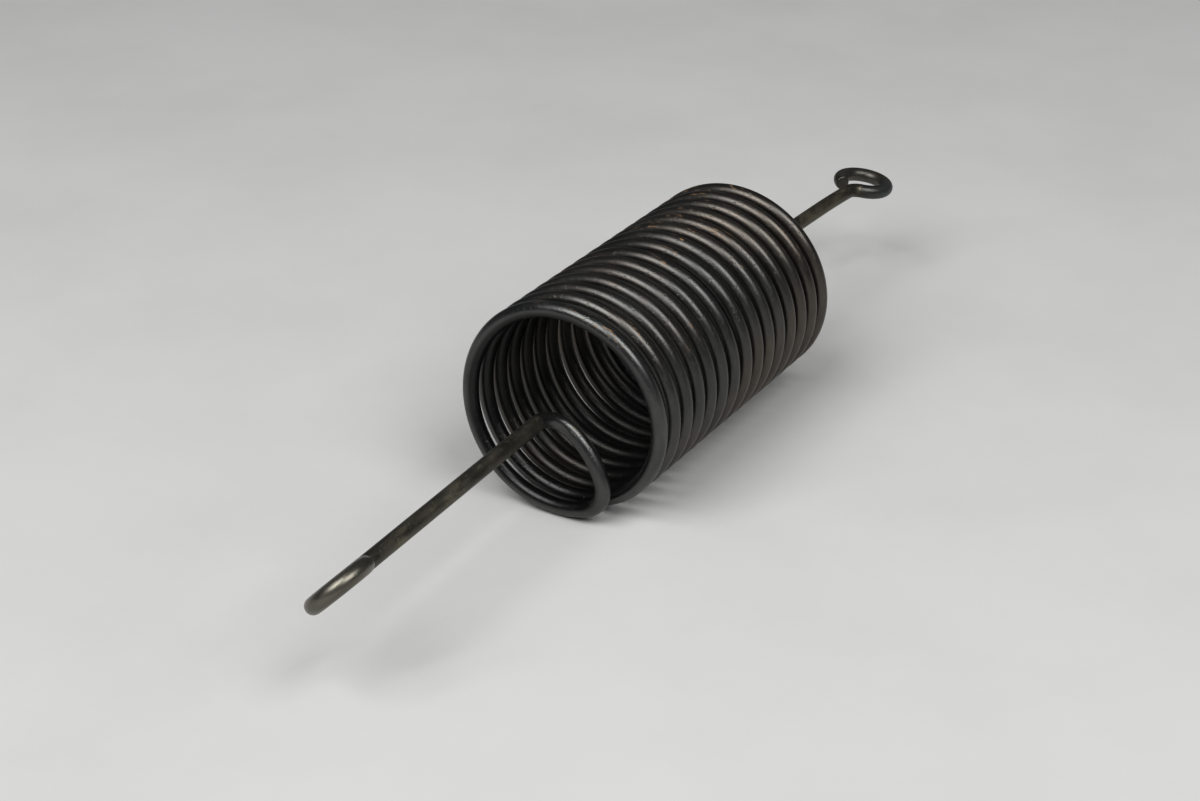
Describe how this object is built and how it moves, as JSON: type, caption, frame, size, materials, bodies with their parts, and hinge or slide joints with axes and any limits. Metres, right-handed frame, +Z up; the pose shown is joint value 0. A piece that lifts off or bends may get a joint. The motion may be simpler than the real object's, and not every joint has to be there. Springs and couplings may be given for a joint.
{
  "type": "coil spring",
  "caption": "Open-coiled extension spring of dark round steel wire, with long straight shanks and round eyes at both ends.",
  "frame": {"origin": "on the ground under the middle of the spring's length, with the coil lying on its side", "axes": "+X along the coil's axis towards the end with the nearly level eye, +Z up"},
  "size_m": [0.3636, 0.0724, 0.0722],
  "materials": {
    "coil_steel": "blackened and oiled, satin",
    "shank_steel": "dark grey-olive, matte with pits",
    "worn_steel": "worn to bare grey, satin"
  },
  "bodies": {
    "near_end": {"near_eye": "worn_steel", "near_neck": "shank_steel", "near_shank": "shank_steel", "near_turn_out": "coil_steel", "near_leg": "coil_steel", "near_turn_in": "coil_steel", "near_coil_end": "coil_steel"},
    "coil_01": {"half_turn_01": "coil_steel"},
    "coil_02": {"half_turn_02": "coil_steel"},
    "coil_03": {"half_turn_03": "coil_steel"},
    "coil_04": {"half_turn_04": "coil_steel"},
    "coil_05": {"half_turn_05": "coil_steel"},
    "coil_06": {"half_turn_06": "coil_steel"},
    "coil_07": {"half_turn_07": "coil_steel"},
    "coil_08": {"half_turn_08": "coil_steel"},
    "coil_09": {"half_turn_09": "coil_steel"},
    "coil_10": {"half_turn_10": "coil_steel"},
    "coil_11": {"half_turn_11": "coil_steel"},
    "coil_12": {"half_turn_12": "coil_steel"},
    "coil_13": {"half_turn_13": "coil_steel"},
    "coil_14": {"half_turn_14": "coil_steel"},
    "coil_15": {"half_turn_15": "coil_steel"},
    "coil_16": {"half_turn_16": "coil_steel"},
    "coil_17": {"half_turn_17": "coil_steel"},
    "coil_18": {"half_turn_18": "coil_steel"},
    "coil_19": {"half_turn_19": "coil_steel"},
    "coil_20": {"half_turn_20": "coil_steel"},
    "coil_21": {"half_turn_21": "coil_steel"},
    "coil_22": {"half_turn_22": "coil_steel"},
    "coil_23": {"half_turn_23": "coil_steel"},
    "coil_24": {"half_turn_24": "coil_steel"},
    "coil_25": {"half_turn_25": "coil_steel"},
    "coil_26": {"half_turn_26": "coil_steel"},
    "coil_27": {"half_turn_27": "coil_steel"},
    "coil_28": {"half_turn_28": "coil_steel"},
    "coil_29": {"half_turn_29": "coil_steel"},
    "coil_30": {"half_turn_30": "coil_steel"},
    "far_end": {"far_coil_end": "coil_steel", "far_turn_in": "coil_steel", "far_leg": "coil_steel", "far_turn_out": "coil_steel", "far_shank": "shank_steel", "far_neck": "shank_steel", "far_eye": "worn_steel"}
  },
  "joints": [
    {"name": "twist_01", "type": "hinge", "parent": "near_end", "child": "coil_01", "pos_m": [-0.05588, 0, 0.0026], "axis": [0, 1, 0], "range_deg": [-1.05, 4.25], "stiffness_Nm_per_rad": 108.2},
    {"name": "twist_02", "type": "hinge", "parent": "coil_01", "child": "coil_02", "pos_m": [-0.05185, 0, 0.0696], "axis": [0, -1, 0], "range_deg": [-2.1, 8.5], "stiffness_Nm_per_rad": 54.1},
    {"name": "twist_03", "type": "hinge", "parent": "coil_02", "child": "coil_03", "pos_m": [-0.04782, 0, 0.0026], "axis": [0, 1, 0], "range_deg": [-2.1, 8.5], "stiffness_Nm_per_rad": 54.1},
    {"name": "twist_04", "type": "hinge", "parent": "coil_03", "child": "coil_04", "pos_m": [-0.0438, 0, 0.0696], "axis": [0, -1, 0], "range_deg": [-2.1, 8.5], "stiffness_Nm_per_rad": 54.1},
    {"name": "twist_05", "type": "hinge", "parent": "coil_04", "child": "coil_05", "pos_m": [-0.03977, 0, 0.0026], "axis": [0, 1, 0], "range_deg": [-2.1, 8.5], "stiffness_Nm_per_rad": 54.1},
    {"name": "twist_06", "type": "hinge", "parent": "coil_05", "child": "coil_06", "pos_m": [-0.03575, 0, 0.0696], "axis": [0, -1, 0], "range_deg": [-2.1, 8.5], "stiffness_Nm_per_rad": 54.1},
    {"name": "twist_07", "type": "hinge", "parent": "coil_06", "child": "coil_07", "pos_m": [-0.03173, 0, 0.0026], "axis": [0, 1, 0], "range_deg": [-2.1, 8.5], "stiffness_Nm_per_rad": 54.1},
    {"name": "twist_08", "type": "hinge", "parent": "coil_07", "child": "coil_08", "pos_m": [-0.0277, 0, 0.0696], "axis": [0, -1, 0], "range_deg": [-2.1, 8.5], "stiffness_Nm_per_rad": 54.1},
    {"name": "twist_09", "type": "hinge", "parent": "coil_08", "child": "coil_09", "pos_m": [-0.02368, 0, 0.0026], "axis": [0, 1, 0], "range_deg": [-2.1, 8.5], "stiffness_Nm_per_rad": 54.1},
    {"name": "twist_10", "type": "hinge", "parent": "coil_09", "child": "coil_10", "pos_m": [-0.01965, 0, 0.0696], "axis": [0, -1, 0], "range_deg": [-2.1, 8.5], "stiffness_Nm_per_rad": 54.1},
    {"name": "twist_11", "type": "hinge", "parent": "coil_10", "child": "coil_11", "pos_m": [-0.01562, 0, 0.0026], "axis": [0, 1, 0], "range_deg": [-2.1, 8.5], "stiffness_Nm_per_rad": 54.1},
    {"name": "twist_12", "type": "hinge", "parent": "coil_11", "child": "coil_12", "pos_m": [-0.0116, 0, 0.0696], "axis": [0, -1, 0], "range_deg": [-2.1, 8.5], "stiffness_Nm_per_rad": 54.1},
    {"name": "twist_13", "type": "hinge", "parent": "coil_12", "child": "coil_13", "pos_m": [-0.00758, 0, 0.0026], "axis": [0, 1, 0], "range_deg": [-2.1, 8.5], "stiffness_Nm_per_rad": 54.1},
    {"name": "twist_14", "type": "hinge", "parent": "coil_13", "child": "coil_14", "pos_m": [-0.00355, 0, 0.0696], "axis": [0, -1, 0], "range_deg": [-2.1, 8.5], "stiffness_Nm_per_rad": 54.1},
    {"name": "twist_15", "type": "hinge", "parent": "coil_14", "child": "coil_15", "pos_m": [0.00047, 0, 0.0026], "axis": [0, 1, 0], "range_deg": [-2.1, 8.5], "stiffness_Nm_per_rad": 54.1},
    {"name": "twist_16", "type": "hinge", "parent": "coil_15", "child": "coil_16", "pos_m": [0.0045, 0, 0.0696], "axis": [0, -1, 0], "range_deg": [-2.1, 8.5], "stiffness_Nm_per_rad": 54.1},
    {"name": "twist_17", "type": "hinge", "parent": "coil_16", "child": "coil_17", "pos_m": [0.00852, 0, 0.0026], "axis": [0, 1, 0], "range_deg": [-2.1, 8.5], "stiffness_Nm_per_rad": 54.1},
    {"name": "twist_18", "type": "hinge", "parent": "coil_17", "child": "coil_18", "pos_m": [0.01255, 0, 0.0696], "axis": [0, -1, 0], "range_deg": [-2.1, 8.5], "stiffness_Nm_per_rad": 54.1},
    {"name": "twist_19", "type": "hinge", "parent": "coil_18", "child": "coil_19", "pos_m": [0.01657, 0, 0.0026], "axis": [0, 1, 0], "range_deg": [-2.1, 8.5], "stiffness_Nm_per_rad": 54.1},
    {"name": "twist_20", "type": "hinge", "parent": "coil_19", "child": "coil_20", "pos_m": [0.0206, 0, 0.0696], "axis": [0, -1, 0], "range_deg": [-2.1, 8.5], "stiffness_Nm_per_rad": 54.1},
    {"name": "twist_21", "type": "hinge", "parent": "coil_20", "child": "coil_21", "pos_m": [0.02463, 0, 0.0026], "axis": [0, 1, 0], "range_deg": [-2.1, 8.5], "stiffness_Nm_per_rad": 54.1},
    {"name": "twist_22", "type": "hinge", "parent": "coil_21", "child": "coil_22", "pos_m": [0.02865, 0, 0.0696], "axis": [0, -1, 0], "range_deg": [-2.1, 8.5], "stiffness_Nm_per_rad": 54.1},
    {"name": "twist_23", "type": "hinge", "parent": "coil_22", "child": "coil_23", "pos_m": [0.03268, 0, 0.0026], "axis": [0, 1, 0], "range_deg": [-2.1, 8.5], "stiffness_Nm_per_rad": 54.1},
    {"name": "twist_24", "type": "hinge", "parent": "coil_23", "child": "coil_24", "pos_m": [0.0367, 0, 0.0696], "axis": [0, -1, 0], "range_deg": [-2.1, 8.5], "stiffness_Nm_per_rad": 54.1},
    {"name": "twist_25", "type": "hinge", "parent": "coil_24", "child": "coil_25", "pos_m": [0.04072, 0, 0.0026], "axis": [0, 1, 0], "range_deg": [-2.1, 8.5], "stiffness_Nm_per_rad": 54.1},
    {"name": "twist_26", "type": "hinge", "parent": "coil_25", "child": "coil_26", "pos_m": [0.04475, 0, 0.0696], "axis": [0, -1, 0], "range_deg": [-2.1, 8.5], "stiffness_Nm_per_rad": 54.1},
    {"name": "twist_27", "type": "hinge", "parent": "coil_26", "child": "coil_27", "pos_m": [0.04877, 0, 0.0026], "axis": [0, 1, 0], "range_deg": [-2.1, 8.5], "stiffness_Nm_per_rad": 54.1},
    {"name": "twist_28", "type": "hinge", "parent": "coil_27", "child": "coil_28", "pos_m": [0.0528, 0, 0.0696], "axis": [0, -1, 0], "range_deg": [-2.1, 8.5], "stiffness_Nm_per_rad": 54.1},
    {"name": "twist_29", "type": "hinge", "parent": "coil_28", "child": "coil_29", "pos_m": [0.05683, 0, 0.0026], "axis": [0, 1, 0], "range_deg": [-2.1, 8.5], "stiffness_Nm_per_rad": 54.1},
    {"name": "twist_30", "type": "hinge", "parent": "coil_29", "child": "coil_30", "pos_m": [0.06085, 0, 0.0696], "axis": [0, -1, 0], "range_deg": [-2.1, 8.5], "stiffness_Nm_per_rad": 54.1},
    {"name": "twist_31", "type": "hinge", "parent": "coil_30", "child": "far_end", "pos_m": [0.06488, 0, 0.0026], "axis": [0, 1, 0], "range_deg": [-1.05, 4.25], "stiffness_Nm_per_rad": 108.2}
  ],
  "couplings": [
    {"joint": "twist_02", "follows": "twist_01", "ratio": 2},
    {"joint": "twist_03", "follows": "twist_01", "ratio": 2},
    {"joint": "twist_04", "follows": "twist_01", "ratio": 2},
    {"joint": "twist_05", "follows": "twist_01", "ratio": 2},
    {"joint": "twist_06", "follows": "twist_01", "ratio": 2},
    {"joint": "twist_07", "follows": "twist_01", "ratio": 2},
    {"joint": "twist_08", "follows": "twist_01", "ratio": 2},
    {"joint": "twist_09", "follows": "twist_01", "ratio": 2},
    {"joint": "twist_10", "follows": "twist_01", "ratio": 2},
    {"joint": "twist_11", "follows": "twist_01", "ratio": 2},
    {"joint": "twist_12", "follows": "twist_01", "ratio": 2},
    {"joint": "twist_13", "follows": "twist_01", "ratio": 2},
    {"joint": "twist_14", "follows": "twist_01", "ratio": 2},
    {"joint": "twist_15", "follows": "twist_01", "ratio": 2},
    {"joint": "twist_16", "follows": "twist_01", "ratio": 2},
    {"joint": "twist_17", "follows": "twist_01", "ratio": 2},
    {"joint": "twist_18", "follows": "twist_01", "ratio": 2},
    {"joint": "twist_19", "follows": "twist_01", "ratio": 2},
    {"joint": "twist_20", "follows": "twist_01", "ratio": 2},
    {"joint": "twist_21", "follows": "twist_01", "ratio": 2},
    {"joint": "twist_22", "follows": "twist_01", "ratio": 2},
    {"joint": "twist_23", "follows": "twist_01", "ratio": 2},
    {"joint": "twist_24", "follows": "twist_01", "ratio": 2},
    {"joint": "twist_25", "follows": "twist_01", "ratio": 2},
    {"joint": "twist_26", "follows": "twist_01", "ratio": 2},
    {"joint": "twist_27", "follows": "twist_01", "ratio": 2},
    {"joint": "twist_28", "follows": "twist_01", "ratio": 2},
    {"joint": "twist_29", "follows": "twist_01", "ratio": 2},
    {"joint": "twist_30", "follows": "twist_01", "ratio": 2},
    {"joint": "twist_31", "follows": "twist_01", "ratio": 1}
  ]
}
